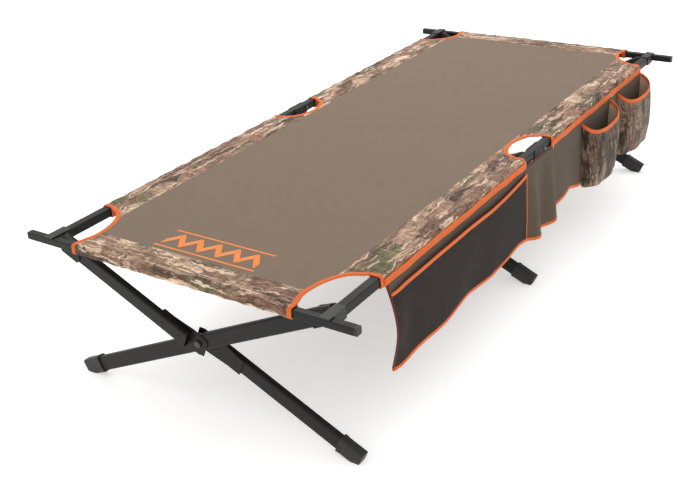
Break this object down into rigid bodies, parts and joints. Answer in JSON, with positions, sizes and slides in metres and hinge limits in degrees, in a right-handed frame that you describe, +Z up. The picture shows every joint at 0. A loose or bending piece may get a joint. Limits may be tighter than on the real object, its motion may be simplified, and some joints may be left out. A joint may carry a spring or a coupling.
{
  "type": "folding camp cot",
  "caption": "Folding camp bed with crossed steel legs, stretched fabric lying surface and a hanging side organiser with pockets.",
  "frame": {"origin": "on the floor, centre of the overall footprint", "axes": "+X to the organiser side, +Y towards the far end, +Z up"},
  "size_m": [1.016, 2.032, 0.432],
  "materials": {
    "coated_steel": "satin powder coat",
    "black_plastic": "fine texture",
    "zinc_bolt": "zinc plated",
    "taupe_cloth": "plain weave polyester",
    "camo_cloth": "printed polyester",
    "net_cloth": "fine mesh"
  },
  "bodies": {
    "left_frame": {"bed_sheet": "taupe_cloth", "far_end_sleeve": "camo_cloth", "left_hinge_bolt": "zinc_bolt", "left_hinge_channel": "coated_steel", "left_leg_foot_far": "black_plastic", "left_leg_foot_mid": "black_plastic", "left_leg_foot_near": "black_plastic", "left_leg_lower_far": "coated_steel", "left_leg_lower_mid": "coated_steel", "left_leg_lower_near": "coated_steel", "left_leg_upper_far": "coated_steel", "left_leg_upper_mid": "coated_steel", "left_leg_upper_near": "coated_steel", "left_leg_yoke_far": "coated_steel", "left_leg_yoke_mid": "coated_steel", "left_leg_yoke_near": "coated_steel", "left_rail_bracket_far": "coated_steel", "left_rail_bracket_mid": "coated_steel", "left_rail_bracket_near": "coated_steel", "left_rail_cap_far": "black_plastic", "left_rail_cap_near": "black_plastic", "left_rail_far": "coated_steel", "left_rail_near": "coated_steel", "left_side_sleeve_far": "camo_cloth", "left_side_sleeve_near": "camo_cloth", "leg_pivot_far": "zinc_bolt", "leg_pivot_mid": "zinc_bolt", "leg_pivot_near": "zinc_bolt", "near_end_sleeve": "camo_cloth"},
    "right_frame": {"right_hinge_bolt": "zinc_bolt", "right_hinge_channel": "coated_steel", "right_leg_far": "coated_steel", "right_leg_foot_far": "black_plastic", "right_leg_foot_mid": "black_plastic", "right_leg_foot_near": "black_plastic", "right_leg_mid": "coated_steel", "right_leg_near": "coated_steel", "right_rail_bracket_far": "coated_steel", "right_rail_bracket_mid": "coated_steel", "right_rail_bracket_near": "coated_steel", "right_rail_cap_far": "black_plastic", "right_rail_cap_near": "black_plastic", "right_rail_far": "coated_steel", "right_rail_near": "coated_steel", "right_side_sleeve_far": "camo_cloth", "right_side_sleeve_near": "camo_cloth"},
    "near_bar": {"near_bar_plug_left": "black_plastic", "near_bar_plug_right": "black_plastic", "near_end_bar": "coated_steel"},
    "far_bar": {"far_bar_plug_left": "black_plastic", "far_bar_plug_right": "black_plastic", "far_end_bar": "coated_steel"},
    "organiser": {"bottle_pocket_far": "camo_cloth", "bottle_pocket_near": "camo_cloth", "organiser_net_pocket": "net_cloth", "organiser_panel_far": "taupe_cloth", "organiser_panel_near": "taupe_cloth"}
  },
  "joints": [
    {"name": "frame_scissor", "type": "hinge", "parent": "left_frame", "child": "right_frame", "pos_m": [0, 0, 0.216], "axis": [0, -1, 0], "range_deg": [0, 122.5], "deforming": ["bed_sheet", "near_end_sleeve", "far_end_sleeve"]},
    {"name": "near_bar_lift_off", "type": "slide", "parent": "left_frame", "child": "near_bar", "axis": [0, 0, -1], "range_m": [0, 0.15]},
    {"name": "far_bar_lift_off", "type": "slide", "parent": "left_frame", "child": "far_bar", "axis": [0, 0, -1], "range_m": [0, 0.15]},
    {"name": "organiser_swing", "type": "hinge", "parent": "right_frame", "child": "organiser", "pos_m": [0.442, 0, 0.4015], "axis": [0, -1, 0], "range_deg": [-50, 75]}
  ],
  "couplings": [
    {"joint": "near_bar_lift_off", "follows": "frame_scissor", "m_per_rad": 0.07},
    {"joint": "far_bar_lift_off", "follows": "frame_scissor", "m_per_rad": 0.07}
  ]
}
